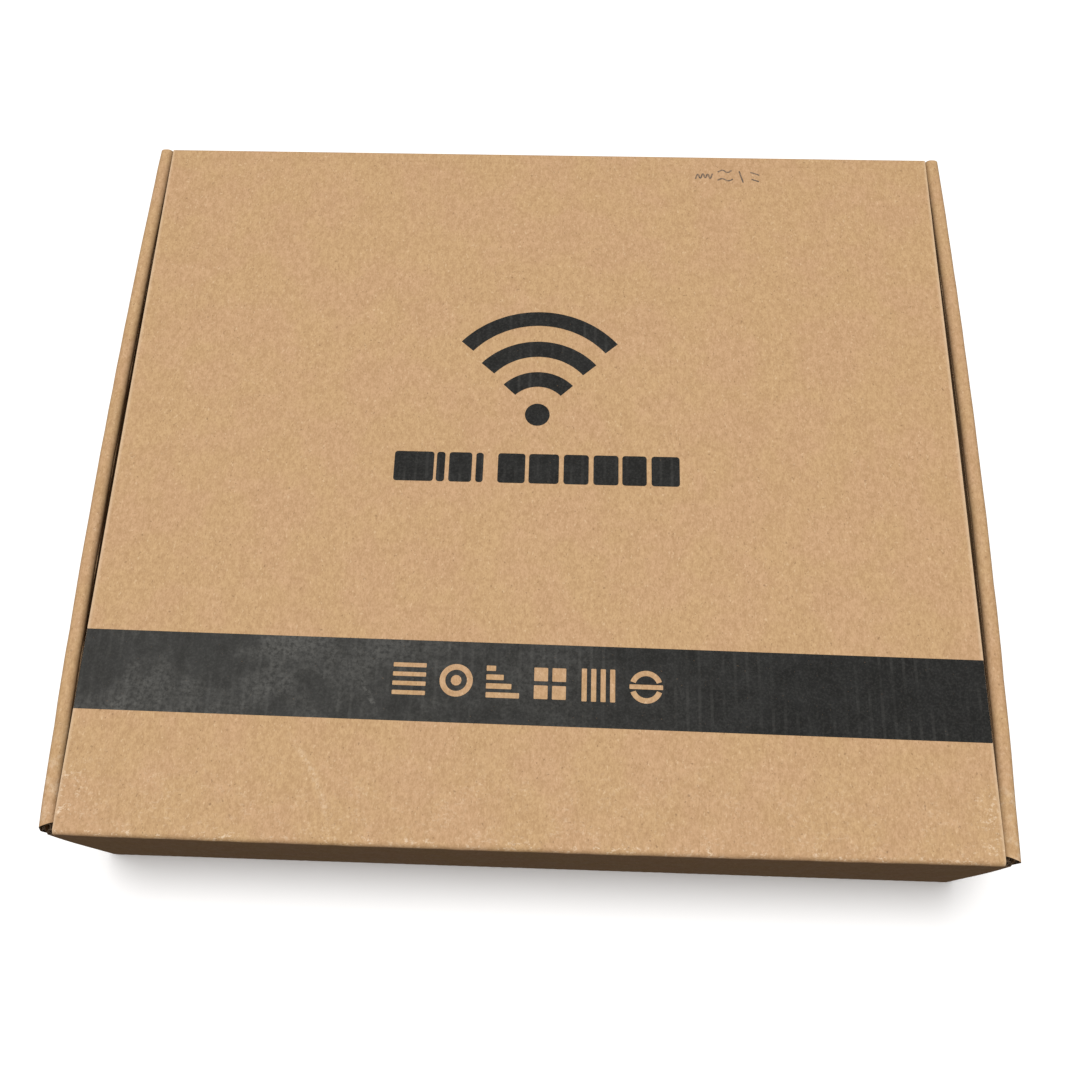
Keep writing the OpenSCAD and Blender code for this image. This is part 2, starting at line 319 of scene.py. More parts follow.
def lid_kraft(name):
    """The lid's liner: kraft, with creases and corners rubbed light, and one long faint scuff."""
    s = Shader(name)
    colour, height = kraft_paper(s, ALONG_Y)
    x, y = s.axis(0), s.axis(1)
    flecks = s.ramp(s.noise(1250, 3, 0.62, (0.7, 1.0, 1.0)), 0.52, 0.66)
    flecks = s.times(flecks, s.ramp(s.noise(150, 3, 0.6), 0.40, 0.60))
    crease = s.times(s.ramp(y, LID_LOW[1] + 3.6, LID_LOW[1] + 1.2), flecks)
    strip = s.times(s.ramp(y, LID_LOW[1] + 34, LID_LOW[1] + 4), flecks)
    side = s.ramp(s.math("ABSOLUTE", x), LID_HIGH[0] - 1.0, LID_HIGH[0] + 0.1)
    corner_x = s.ramp(s.math("ABSOLUTE", x), LID_HIGH[0] - 13, LID_HIGH[0] - 1)
    corner_y = s.ramp(y, LID_LOW[1] + 34, LID_LOW[1] + 6)
    corner = s.times(s.times(corner_x, corner_y), flecks)
    rubbed = s.math("MAXIMUM", s.times(crease, 0.62), s.times(side, 0.28))
    rubbed = s.math("MAXIMUM", rubbed, s.times(corner, 0.62))
    rubbed = s.math("MAXIMUM", rubbed, s.times(strip, 0.20))
    scuff = s.times(streak(s, x, y, *LID_SCUFF), 0.26)
    worn = s.math("MAXIMUM", rubbed, scuff)
    worn = s.times(worn, s.ramp(s.axis(2), TOP - 1.3, TOP - 0.7))
    colour = s.mix(worn, colour, WORN_LID)
    rough = s.ramp(worn, 0.0, 0.8, 0.74, 0.48)
    relief = s.bump(height, 0.00016, 0.8)
    return s.set(Base_Color=colour, Roughness=rough, Specular_IOR_Level=0.34, Normal=relief)


# centre x and y, radius, half width of the line, lowest and highest y: all in millimetres
LID_SCUFF = (-104.8, -121.1, 55.0, 1.5, -109.0, -80.0)
BAND_SCUFF = (-115.0, -108.2, 80.0, 1.5, -81.0, -58.0)


def streak(s, x, y, centre_x, centre_y, radius, width, low_y, high_y):
    """How strongly a faint, broken scuff along an arc shows, from 0 to 1."""
    across = s.math("SUBTRACT", x, centre_x)
    along = s.math("SUBTRACT", y, centre_y)
    squares = s.math("ADD", s.times(across, across), s.times(along, along))
    away = s.math("ABSOLUTE", s.math("SUBTRACT", s.math("SQRT", squares), radius))
    line = s.times(s.ramp(away, width, 0.0), s.ramp(x, centre_x, centre_x + 1.0))
    line = s.times(line, s.ramp(y, low_y, low_y + 8))
    line = s.times(line, s.ramp(y, high_y, high_y - 12))
    return s.times(line, s.ramp(s.noise(900, 3, 0.7), 0.42, 0.60))


def ink(name, value, greying):
    """Flexo ink: near black, faintly lighter on the board's ribs, with missed fibres and scuffed patches."""
    s = Shader(name)
    x, y = s.axis(0), s.axis(1)
    ribs = s.math("SINE", s.times(x, 2 * math.pi / PITCH))
    sharp = s.times(s.ramp(ribs, 0.45, 0.98), s.ramp(s.noise(55, 2, 0.6), 0.38, 0.66))
    fine = s.ramp(s.noise(1700, 3, 0.65), 0.40, 0.72)
    patch = s.ramp(s.noise(30, 5, 0.72), 0.42, 0.66)
    patch = s.times(patch, s.ramp(s.noise(800, 3, 0.7), 0.30, 0.65))
    leftward = s.ramp(x, 90.0, -100.0)
    greyed = s.times(s.math("ADD", s.times(patch, 0.75), 0.25), leftward)
    level = s.math("ADD", s.times(sharp, 0.05), s.times(fine, 0.06))
    greyed = s.math("MAXIMUM", greyed, streak(s, x, y, *BAND_SCUFF))
    level = s.math("ADD", level, s.times(greyed, greying))
    colour = s.mix(level, (value, value, value * 0.93, 1), (0.26, 0.255, 0.235, 1))
    missed = s.ramp(s.noise(1900, 2, 0.6), 0.72, 0.78, 0.0, 0.35)
    colour = s.mix(missed, colour, KRAFT_BROWN)
    height = s.math("ADD", s.noise(420, 4, 0.62), s.times(s.noise(1500, 3, 0.6), 0.8))
    rough = s.ramp(s.noise(210, 3, 0.6), 0.3, 0.7, 0.62, 0.78)
    relief = s.bump(height, 0.00008, 0.5)
    return s.set(Base_Color=colour, Roughness=rough, Specular_IOR_Level=0.14, Normal=relief)


def pencil(name):
    s = Shader(name)
    grains = s.ramp(s.noise(1900, 3, 0.7), 0.42, 0.58)
    colour = s.mix(grains, (0.085, 0.062, 0.045, 1), (0.24, 0.155, 0.095, 1))
    return s.set(Base_Color=colour, Roughness=0.55, Specular_IOR_Level=0.4, Normal=s.bump(grains, 0.00003))


def cut_edge(name):
    """The medium and cut edges: fibrous, and painted near black in the notches at the front corners, as
    painted shade on top of the real shadow there.
    """
    s = Shader(name)
    fuzz = s.noise(1700, 4, 0.7)
    colour = s.mix(s.ramp(fuzz, 0.3, 0.7), (0.30, 0.185, 0.095, 1), (0.56, 0.39, 0.235, 1))
    dust = s.ramp(s.noise(160, 3, 0.6), 0.45, 0.75, 0.0, 0.35)
    colour = s.mix(dust, colour, (0.66, 0.50, 0.34, 1))
    # painted shade: high in the front corner notches the cut edges are painted near black, for the shade deep
    # in those gaps
    front = s.ramp(s.axis(1), -HALF_D + 5, -HALF_D + 2.5)
    upper = s.ramp(s.axis(2), TOP - 9, TOP - 5)
    notch_painted_shade = s.times(s.times(front, upper), 0.86)
    colour = s.mix(notch_painted_shade, colour, (0.02, 0.012, 0.008, 1))
    relief = s.bump(fuzz, 0.00012, 0.8)
    return s.set(Base_Color=colour, Roughness=0.9, Specular_IOR_Level=0.2, Normal=relief)


def white_paper(name):
    s = Shader(name)
    pulp = s.noise(900, 4, 0.6)
    tone = s.mix(s.noise(45, 2, 0.5), (0.64, 0.63, 0.60, 1), (0.71, 0.70, 0.67, 1))
    colour = s.mix(s.ramp(pulp, 0.35, 0.65, 0.0, 0.25), tone, (0.56, 0.55, 0.52, 1))
    relief = s.bump(pulp, 0.00003, 0.5)
    return s.set(Base_Color=colour, Roughness=0.72, Specular_IOR_Level=0.35, Normal=relief)


def plastic(name, colour, rough=0.42):
    """Moulded plastic with a spark-eroded texture, uneven gloss and a trace of handling."""
    s = Shader(name)
    cells = s.noise(2600, 3, 0.6)
    broad = s.noise(38, 3, 0.6)
    darker = [c * 0.82 for c in colour[:3]] + [1]
    tone = s.mix(s.ramp(broad, 0.35, 0.70, 0.0, 0.24), colour, darker)
    tone = s.mix(s.ramp(cells, 0.35, 0.65, 0.0, 0.10), tone, darker)
    gloss = s.ramp(s.noise(150, 3, 0.6), 0.3, 0.7, rough - 0.07, rough + 0.10)
    relief = s.bump(cells, 0.00004, 0.5)
    return s.set(Base_Color=tone, Roughness=gloss, Specular_IOR_Level=0.5, Normal=relief)


def metal(name, colour, rough, brushed=(1.0, 0.06, 1.0)):
    s = Shader(name)
    lines = s.noise(2400, 3, 0.6, brushed)
    stain = s.noise(70, 3, 0.6)
    dark = [c * 0.72 for c in colour[:3]] + [1]
    tone = s.mix(s.ramp(lines, 0.3, 0.7, 0.0, 0.35), colour, dark)
    tone = s.mix(s.ramp(stain, 0.45, 0.75, 0.0, 0.3), tone, dark)
    gloss = s.ramp(lines, 0.3, 0.7, rough - 0.08, rough + 0.12)
    return s.set(Base_Color=tone, Roughness=gloss, Metallic=1.0, Normal=s.bump(lines, 0.00002, 0.4))


def laminate(name, mask, trace):
    """Circuit laminate: solder mask with copper tracks just visible under it, and weave."""
    s = Shader(name)
    cells = s.node("ShaderNodeTexVoronoi", feature="F1", distance="MANHATTAN")
    s.feed(cells.inputs["Vector"], s.place)
    s.feed(cells.inputs["Scale"], 260)
    tracks = s.ramp(cells.outputs["Distance"], 0.30, 0.36, 0.0, 0.55)
    weave = s.noise(1400, 2, 0.5)
    colour = s.mix(tracks, mask, trace)
    colour = s.mix(s.ramp(weave, 0.4, 0.7, 0.0, 0.2), colour, (0.02, 0.05, 0.03, 1))
    rough = s.ramp(weave, 0.3, 0.7, 0.28, 0.42)
    return s.set(Base_Color=colour, Roughness=rough, Normal=s.bump(tracks, 0.00004))


def rubber(name):
    s = Shader(name)
    skin = s.noise(1500, 3, 0.6)
    dust = s.ramp(s.noise(140, 3, 0.6), 0.5, 0.8, 0.0, 0.25)
    colour = s.mix(dust, (0.022, 0.022, 0.023, 1), (0.16, 0.15, 0.14, 1))
    rough = s.ramp(skin, 0.3, 0.7, 0.70, 0.90)
    return s.set(Base_Color=colour, Roughness=rough, Normal=s.bump(skin, 0.00005))


def lens(name):
    s = Shader(name)
    haze = s.noise(900, 3, 0.6)
    tone = s.mix(haze, (0.78, 0.84, 0.88, 1), (0.90, 0.93, 0.95, 1))
    return s.set(
        Base_Color=tone, Roughness=s.ramp(haze, 0.3, 0.7, 0.18, 0.32),
        Transmission_Weight=0.55, Normal=s.bump(haze, 0.00002),
    )


def floor_paint(name):
    s = Shader(name)
    tone = s.mix(s.noise(3, 3, 0.5), grey(0.94), grey(0.96))
    return s.set(Base_Color=tone, Roughness=0.9, Specular_IOR_Level=0.1)


# ---- mesh tools

def refine(path, step):
    """The path with every segment longer than step divided evenly."""
    out = [np.array(path[0], float)]
    for a, b in zip(path[:-1], path[1:]):
        a, b = np.array(a, float), np.array(b, float)
        count = max(1, math.ceil(np.linalg.norm(b - a) / step))
        out += [a + (b - a) * k / count for k in range(1, count + 1)]
    return np.array(out)


def resample(path, count):
    """The path as count points, evenly spaced along it."""
    path = np.array(path, float)
    length = np.r_[0, np.cumsum(np.linalg.norm(np.diff(path, axis=0), axis=1))]
    at = np.linspace(0, length[-1], count)
    return np.c_[np.interp(at, length, path[:, 0]), np.interp(at, length, path[:, 1])]


def arc(centre, radii, start, end, count=9):
    """Points on an arc or a stretch of an ellipse, with angles in degrees."""
    angles = np.radians(np.linspace(start, end, count))
    return [(centre[0] + radii[0] * math.cos(a), centre[1] + radii[1] * math.sin(a)) for a in angles]


def normals(path):
    tangent = np.gradient(path, axis=0)
    tangent /= np.linalg.norm(tangent, axis=1)[:, None]
    return np.c_[-tangent[:, 1], tangent[:, 0]]


def lay(first, second, across, plane):
    """Points from two coordinates in a plane and the third across it."""
    order = {"yz": (across, first, second), "xz": (first, across, second), "xy": (first, second, across)}
    return np.stack(order[plane], axis=-1)


def sheet(top, bottom, face=0, rim=1):
    """A closed sheet between two grids of points: vertices, faces and a material index for each face."""
    rows, cols = top.shape[:2]
    ids = np.arange(rows * cols).reshape(rows, cols)
    below = ids + rows * cols
    a, b, c, d = ids[:-1, :-1], ids[:-1, 1:], ids[1:, 1:], ids[1:, :-1]
    upper = np.stack([a, b, c, d], -1).reshape(-1, 4)
    lower = np.stack([a, d, c, b], -1).reshape(-1, 4) + rows * cols
    loop = np.r_[ids[0, :], ids[1:, -1], ids[-1, -2::-1], ids[-2:0:-1, 0]]
    under = np.r_[below[0, :], below[1:, -1], below[-1, -2::-1], below[-2:0:-1, 0]]
    edge = np.stack([loop, under, np.roll(under, -1), np.roll(loop, -1)], -1)
    verts = np.concatenate([top.reshape(-1, 3), bottom.reshape(-1, 3)])
    faces = np.concatenate([upper, lower, edge])
    kinds = np.r_[np.full(len(upper) + len(lower), face), np.full(len(edge), rim)]
    return verts, faces, kinds


def tube_closed(rings):
    """A closed solid through rings of equal point counts, capped with a fan at each end."""
    rings = np.array(rings)
    count, around = rings.shape[:2]
    ids = np.arange(count * around).reshape(count, around)
    nxt = np.roll(ids, -1, axis=1)
    sides = np.stack([ids[:-1], nxt[:-1], nxt[1:], ids[1:]], -1).reshape(-1, 4).tolist()
    verts = np.concatenate([rings.reshape(-1, 3), rings[[0, -1]].mean(axis=1)])
    first, last = count * around, count * around + 1
    caps = [[ids[0, k], first, nxt[0, k]] for k in range(around)]
    caps += [[ids[-1, k], nxt[-1, k], last] for k in range(around)]
    faces = sides + caps
    return verts, faces, np.zeros(len(faces), int)


def build(name, parts, materials, sharp=38):
    """One mesh object, in metres, from (vertices, faces, kinds) parts given in millimetres."""
    verts, faces, kinds, start = [], [], [], 0
    for v, f, k in parts:
        verts.append(v)
        faces += [[i + start for i in face] for face in (f.tolist() if isinstance(f, np.ndarray) else f)]
        kinds.append(k)
        start += len(v)
    mesh = bpy.data.meshes.new(name)
    mesh.from_pydata((np.concatenate(verts) * MM).tolist(), [], faces)
    mesh.polygons.foreach_set("material_index", np.concatenate(kinds).astype(np.int32))
    for material in materials:
        mesh.materials.append(material)
    finish_mesh(mesh, sharp)
    return add(name, mesh)


def finish_mesh(mesh, sharp):
    """Faces look outwards, and edges sharper than the angle stay crisp under smooth shading."""
    bm = bmesh.new()
    bm.from_mesh(mesh)
    bmesh.ops.recalc_face_normals(bm, faces=bm.faces)
    limit = math.radians(sharp)
    for edge in bm.edges:
        edge.smooth = len(edge.link_faces) == 2 and edge.calc_face_angle() < limit
    for face in bm.faces:
        face.smooth = True
    bm.to_mesh(mesh)
    bm.free()


def cut(piece, cutters, sharp=38):
    """Takes closed (vertices, faces, kinds) parts out of a piece."""
    tool = build("cutter", cutters, [])
    change = piece.modifiers.new("cut", "BOOLEAN")
    change.object = tool
    change.solver = "EXACT"
    change.operation = "DIFFERENCE"
    evaluated = piece.evaluated_get(bpy.context.evaluated_depsgraph_get())
    mesh = bpy.data.meshes.new_from_object(evaluated)
    piece.modifiers.clear()
    piece.data = mesh
    bpy.data.objects.remove(tool)
    finish_mesh(mesh, sharp)
    return piece


def prism(outline, low, high, turn=None):
    """A closed prism from an outline in XY between two heights, turned if asked."""
    outline = np.array(outline, float)
    rings = [np.c_[outline, np.full(len(outline), z)] for z in (low, high)]
    verts, faces, kinds = tube_closed(rings)
    return (turn(verts) if turn else verts), faces, kinds


def rounded_outline(centre, size, radius, steps=8):
    """A rectangle with round corners, anticlockwise."""
    out = []
    for k, (sx, sy) in enumerate(((1, 1), (-1, 1), (-1, -1), (1, -1))):
        corner = (centre[0] + sx * (size[0] / 2 - radius), centre[1] + sy * (size[1] / 2 - radius))
        out += arc(corner, (radius, radius), 90 * k, 90 * k + 90, steps)
    return out


# ---- corrugated board

def board(path, span, plane, flutes, rib=RIB, warp=None, thick=BOARD, step=7.0, start=0.0):
    """Corrugated board along a centre path, swept across a span: two liners and a wavy medium between them.

    flutes is "path" when the flutes run along the path, and "span" when they run across it.
    span is (low, high), or a function that gives them for distances along the path.
    """
    parts = []
    half = thick / 2
    swing = half - LINER - MEDIUM / 2

    def layer(top, bottom, wave_steps, ribbed):
        fine = PITCH / wave_steps
        points = refine(path, fine if flutes == "span" and ribbed else step)
        along = start + np.r_[0, np.cumsum(np.linalg.norm(np.diff(points, axis=0), axis=1))]
        low, high = span(along) if callable(span) else (np.full(len(along), float(s)) for s in span)
        widest = np.max(high - low)
        columns = math.ceil(widest / (fine if flutes == "path" and ribbed else step)) + 1
        across = low[:, None] + (high - low)[:, None] * np.linspace(0, 1, columns)
        phase = across if flutes == "path" else np.broadcast_to(along[:, None], across.shape)
        wave = np.cos(2 * np.pi * phase / PITCH)
        outward = normals(points)
        grids = []
        for offset in (top(wave), bottom(wave)):
            first = points[:, :1] + outward[:, :1] * offset
            second = points[:, 1:] + outward[:, 1:] * offset
            grid = lay(first, second, across, plane)
            grids.append(warp(grid) if warp else grid)
        return grids

    for side in (1, -1):
        skin = layer(
            lambda w, s=side: s * (half - rib * (1 - w) / 2),
            lambda w, s=side: s * (half - LINER) + 0 * w,
            6, rib > 0,
        )
        parts.append(sheet(*skin, face=0, rim=1))
    core = layer(lambda w: swing * w + MEDIUM / 2, lambda w: swing * w - MEDIUM / 2, 8, True)
    parts.append(sheet(*core, face=1, rim=1))
    return parts


def fold(outer, inner, span, plane, count=26, warp=None, columns=60):
    """A crushed crease: a solid strip of board between an outer and an inner path."""
    skins = []
    share = np.linspace(0, 1, count)
    low, high = span(share) if callable(span) else (np.full(count, float(s)) for s in span)
    across = low[:, None] + (high - low)[:, None] * np.linspace(0, 1, columns)
    for path in (outer, inner):
        points = resample(path, count)
        first = np.broadcast_to(points[:, :1], across.shape)
        second = np.broadcast_to(points[:, 1:], across.shape)
        grid = lay(first, second, across, plane)
        skins.append(warp(grid) if warp else grid)
    return [sheet(*skins, face=0, rim=1)]


def mirrored(parts, side):
    """The parts as they are, or mirrored to the left."""
    if side > 0:
        return parts
    return [(v * np.array([-1, 1, 1]), f, k) for v, f, k in parts]


def finish_piece(piece, body, slot, *nodes):
    if body:
        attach(piece, body)
    if nodes:
        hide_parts(*nodes)
    return piece


# ---- how the board has settled

def side_warp(grid):
    """The side walls bulge half way along, and their tops are drawn in a little more at the ends."""
    x, y, z = grid[..., 0], grid[..., 1], grid[..., 2]
    share = y / HALF_D
    pull = (BOW + np.where(share < 0, 0.45, 0.10) * z / TOP) * share**2
    dents = 0.10 + 0.06 * np.sin(y / 2.9 + np.sign(x)) * np.sin(y / 7.3)
    dents = dents + 0.04 * np.sin(y / 1.4 + 2 * np.sign(x))
    pull = pull + dents * np.clip((z - TOP + 5) / 3, 0, 1)
    out = grid.copy()
    out[..., 0] = x * (1 - pull / HALF_W)
    return out


def roll_warp(grid):
    """As the side wall, and the roll's front end is cut askew: its inner side ends further back."""
    out = side_warp(grid)
    x, y, z = grid[..., 0], grid[..., 1], grid[..., 2]
    inward = np.clip((HALF_W - np.abs(x)) / 4, 0, 1)
    near = np.clip((-y - 90) / 20, 0, 1) * np.clip((z - TOP + 3) / 1.5, 0, 1)
    shorter = np.where(x < 0, 0.7, 0.0)
    out[..., 1] = y + near * (shorter + 1.5 * inward)
    return out


def front_bow(x, z):
    return 0.45 * (x / HALF_W) ** 2 * np.clip(z / TOP, 0, 1)


def front_warp(grid):
    """The front wall's top leans in under the lid's edge, and bows out by a little in the middle."""
    out = grid.copy()
    x, y, z = grid[..., 0], grid[..., 1], grid[..., 2]
    fade = np.clip(1 - (y + HALF_D) / 12, 0, 1)
    lean = 0.42 * np.clip((z - TOP / 2) / (TOP / 2), 0, 1) ** 2
    out[..., 1] = y + (front_bow(x, z) + lean) * fade
    return out


def lid_sag(x, y):
    """How far the lid's face lies below flat: gentle cockling that dies out at the creases."""
    calm = np.clip((HALF_D - 6 - np.abs(y)) / 25, 0, 1)
    return -0.09 * calm * (1 + np.sin(x / 31 + 0.7) * np.sin(y / 24 + 1.3))


def lid_warp(grid):
    x, y = grid[..., 0], grid[..., 1]
    out = grid.copy()
    out[..., 2] += lid_sag(x, y)
    out[..., 0] = x * (1 + LID_BOW / HALF_W * (1 - (y / HALF_D) ** 2))
    return out


# ---- carton

LID_HALF = LID_HIGH[0]
TAB_Y = 55.0
TAB_L = 30.0
INNER_FOOT = INNER_HIGH[0] - HALF
NOSE_Y = LID_LOW[1]
SIDE_MID = HALF_W - HALF
CREASE = 0.80
FOLD_START = NOSE_Y + 4.3
BACK_TOP = TOP - 4   # the back wall ends here, and the hinge crease begins


def make_base():
    x = SIDE_MID - 1.8
    y = HALF_D - 3.0
    parts = board([(-y, HALF), (y, HALF)], (-x, x), "yz", "path", warp=side_warp)
    piece = build("base_board", parts, [KRAFT, EDGE])
    slots = []
    for sx in (-1, 1):
        for sy in (-1, 1):
            centre = (sx * (INNER_FOOT - BOW * (TAB_Y / HALF_D) ** 2), sy * TAB_Y)
            slots.append(prism(rounded_outline(centre, (BOARD + 0.8, TAB_L + 2), 0.6, 4), -1, BOARD + 1))
    cut(piece, slots)
    finish_piece(piece, "root", "kraft_board", "base_panel")


def end_wall_parts(warp):
    """The front wall, with the round crease at its foot. The back wall is its mirror image."""
    y = -HALF_D + HALF
    foot = arc((y + CREASE, HALF + CREASE), (CREASE, CREASE), 270, 180)
    path = [(y + 2.3, HALF)] + foot + [(y, WALL_TOP)]
    x = CORNER_X - BOARD - 0.05
    return board(path, (-x, x), "yz", "path", warp=warp)


def make_front_wall():
    # the front wall uses the copy of the kraft that is painted darker, as painted shade
    piece = build("front_board", end_wall_parts(front_warp), [KRAFT_FRONT_PAINTED_SHADE, EDGE])
    finish_piece(piece, "root", "kraft_board", "front_wall")


def make_back_wall():
    parts = []
    for verts, faces, kinds in end_wall_parts(None):
        verts = verts * np.array([1, -1, 1])
        verts[:, 2] = np.minimum(verts[:, 2], BACK_TOP)
        parts.append((verts, faces, kinds))
    piece = build("back_board", parts, [KRAFT_UPRIGHT, EDGE])
    finish_piece(piece, "root", "kraft_board", "back_wall")


def make_corner_flap(side, end, node):
    """The flap that turns the corner from the front or back wall and lies inside the side wall."""
    thick = 1.1
    x = CORNER_X - thick / 2
    y = -HALF_D + thick / 2
    turn = arc((x - CREASE, y + CREASE), (CREASE, CREASE), 270, 360)
    path = [(px + BOW, py) for px, py in [(CORNER_X - BOARD - 0.1, y)] + turn + [(x, y + 60)]]
    full = WALL_TOP if end < 0 else BACK_TOP

    def heights(along):
        drop = np.interp(along, [0, 0.5, 2.4, 10, 70], [0, 1.2, 3.0, 3.4, 3.6])
        return np.full(len(along), BOARD + 0.2), full - drop

    parts = board(path, heights, "xy", "span", thick=thick, warp=lambda g: side_warp(front_warp(g)))
    if end > 0:
        parts = [(v * np.array([1, -1, 1]), f, k) for v, f, k in parts]
    piece = build(node + "_board", mirrored(parts, side), [KRAFT_UPRIGHT, EDGE])
    finish_piece(piece, "root", "kraft_board", node)


ROLL = 1.0           # centre radius of the rolled side wall's two bends
ROLL_FLAT = 0.8      # flat stretch between the bends
ROLL_START = 2.4     # the rolled strip begins this far below the top


def make_side(side, word):
    """One side wall: outer layer, rolled top and inner layer, all one board in three pieces."""
    long_span = (SIDE_LOW[1], HALF_D - 0.35)
    mid = TOP - 0.06 - HALF
    foot = arc((SIDE_MID - CREASE, HALF + CREASE), (CREASE, CREASE), 270, 360)
    outer = [(SIDE_MID - 1.75, HALF)] + foot + [(SIDE_MID, TOP - ROLL_START)]
    inner_top = SIDE_MID - 2 * ROLL - ROLL_FLAT
    roll = [(SIDE_MID, TOP - ROLL_START)]
    roll += arc((SIDE_MID - ROLL, mid - ROLL), (ROLL, ROLL), 0, 90, 10)
    roll += arc((inner_top + ROLL, mid - ROLL), (ROLL, ROLL), 90, 180, 10)
    roll += [(inner_top, TOP - ROLL_START)]
    inner = [(inner_top, TOP - ROLL_START), (INNER_FOOT, BOARD + 0.1)]

    def warp(grid):
        """The left wall is mirrored later, so it is warped as if it were on the left already."""
        there = np.array([side, 1, 1])
        return roll_warp(grid * there) * there

    inner_parts = board(inner, (SIDE_LOW[1], SIDE_HIGH[1]), "xz", "span", warp=side_warp)
    tab = [(INNER_FOOT, BOARD), (INNER_FOOT, 0.3)]
    for middle in (-TAB_Y, TAB_Y):
        ends = (middle - TAB_L / 2, middle + TAB_L / 2)
        inner_parts += board(tab, ends, "xz", "span", rib=0, warp=side_warp)
    for name, parts, node in (
        ("outer_board", board(outer, long_span, "xz", "span", warp=warp), "outer_wall"),
        ("roll_board", board(roll, long_span, "xz", "span", warp=warp), "roll_over"),
        ("inner_board", inner_parts, "inner_wall"),
    ):
        piece = build(f"{word}_{name}", mirrored(parts, side), [KRAFT, EDGE])
        finish_piece(piece, "root", "kraft_board", f"{word}_{node}")


def make_lid():
    z = TOP - LID_DROP - HALF
    path = [(FOLD_START, z), (HALF_D - 4, z)]
    span = (-LID_HALF + 0.02, LID_HALF - 0.02)
    parts = board(path, span, "yz", "path", warp=lid_warp, step=6)
    piece = build("lid_board", parts, [LID_PAPER, EDGE])
    finish_piece(piece, "lid", "printed_board", "lid_panel")


def make_lid_crease():
    """The crease between back wall and lid."""
    face = TOP - LID_DROP
    radius = 1.15
    start = HALF_D - 4
    outer = [(HALF_D, BACK_TOP)] + arc((HALF_D - radius, face - radius), (radius, radius), 0, 90)
    outer += [(start, face)]
    inner = [(HALF_D - BOARD, BACK_TOP)]
    inner += arc((HALF_D - BOARD - 0.4, face - BOARD - 0.4), (0.4, 0.4), 0, 90, 5)
    inner += [(start, face - BOARD)]

    def width(share):
        half = LID_HALF + 0.6 * np.clip(1 - share * 2.2, 0, 1)
        return -half, half

    piece = build("lid_crease", fold(outer, inner, width, "yz", columns=80), [LID_PAPER, EDGE])
    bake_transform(piece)
    finish_piece(piece, None, "printed_board")


def in_flap(points):
    """From the tuck flap's own frame, hanging from its crease, to the carton's frame."""
    y, z = points[..., 1], points[..., 2]
    out = points.copy()
    out[..., 1] = TUCK_AT[1] + y * math.cos(LEAN) - z * math.sin(LEAN)
    out[..., 2] = TUCK_AT[2] + y * math.sin(LEAN) + z * math.cos(LEAN)
    return out


def flap_point(x, y, z):
    return in_flap(np.array([x, y, z], float))


FLAP_START = 3.6
FLAP_HALF = box_mm("tuck_flap")[1][0]


def nose_noise(x):
    """Small unevenness of a crushed crease along its length."""
    return 0.05 * np.sin(x / 3.1) * np.sin(x / 7.7 + 1) + 0.035 * np.sin(x / 1.3 + 2) * np.sin(x / 11.0)


def make_front_fold():
    """The lid's rounded front edge and the crease under it, from which the tuck flap hangs."""
    face = TOP - LID_DROP
    under = WALL_TOP + 0.10
    drop = face - under - 0.15
    outer = [(FOLD_START, face)]
    outer += arc((NOSE_Y + 1.5, face - drop), (1.5, drop), 90, 180, 12)
    outer += [(NOSE_Y + 0.12, under), (NOSE_Y + 1.3, under)]
    outer += [tuple(flap_point(0, -HALF, -0.6)[1:]), tuple(flap_point(0, -HALF, -FLAP_START)[1:])]
    inner = [(FOLD_START, face - BOARD)]
    inner += [(NOSE_Y + 3.6, face - BOARD)]
    inner += [tuple(flap_point(0, HALF, -0.9)[1:]), tuple(flap_point(0, HALF, -FLAP_START)[1:])]

    def width(share):
        half = LID_HALF - 0.05 - (LID_HALF - FLAP_HALF) * np.clip((share - 0.62) / 0.12, 0, 1)
        return -half, half

    def settle(grid):
        out = grid.copy()
        x, y, z = grid[..., 0], grid[..., 1], grid[..., 2]
        near = np.clip((NOSE_Y + 3 - y) / 2, 0, 1) * np.clip((z - (under - 0.4)) / 0.4, 0, 1)
        out[..., 1] = y + near * (front_bow(x, z) + nose_noise(x) + 0.06)
        return out

    piece = build("front_fold", fold(outer, inner, width, "yz", 46, settle, 300), [LID_PAPER, EDGE])
    top_y, top_z = flap_point(0, 0, 0.5)[1:]
    low_y, low_z = flap_point(0, 0, -FLAP_START + 0.8)[1:]
    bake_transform(piece)
    finish_piece(piece, None, "printed_board")


def make_tuck_flap():
    reach = 38.0
    corner = 8.0

    def width(along):
        into = np.clip(along - (reach - corner), 0, corner)
        half = FLAP_HALF - corner + np.sqrt(np.maximum(corner**2 - into**2, 0.01))
        return -half, half

    stops = [-FLAP_START, -reach + corner]
    stops += [-reach + corner * (1 - math.sin(a)) for a in np.radians(range(10, 91, 10))]
    path = [(0.0, z) for z in stops]
    parts = board(path, width, "yz", "path", start=FLAP_START, warp=in_flap)
    piece = build("tuck_board", parts, [KRAFT_UPRIGHT, EDGE])
    finish_piece(piece, "tuck", "kraft_board", "tuck_flap")


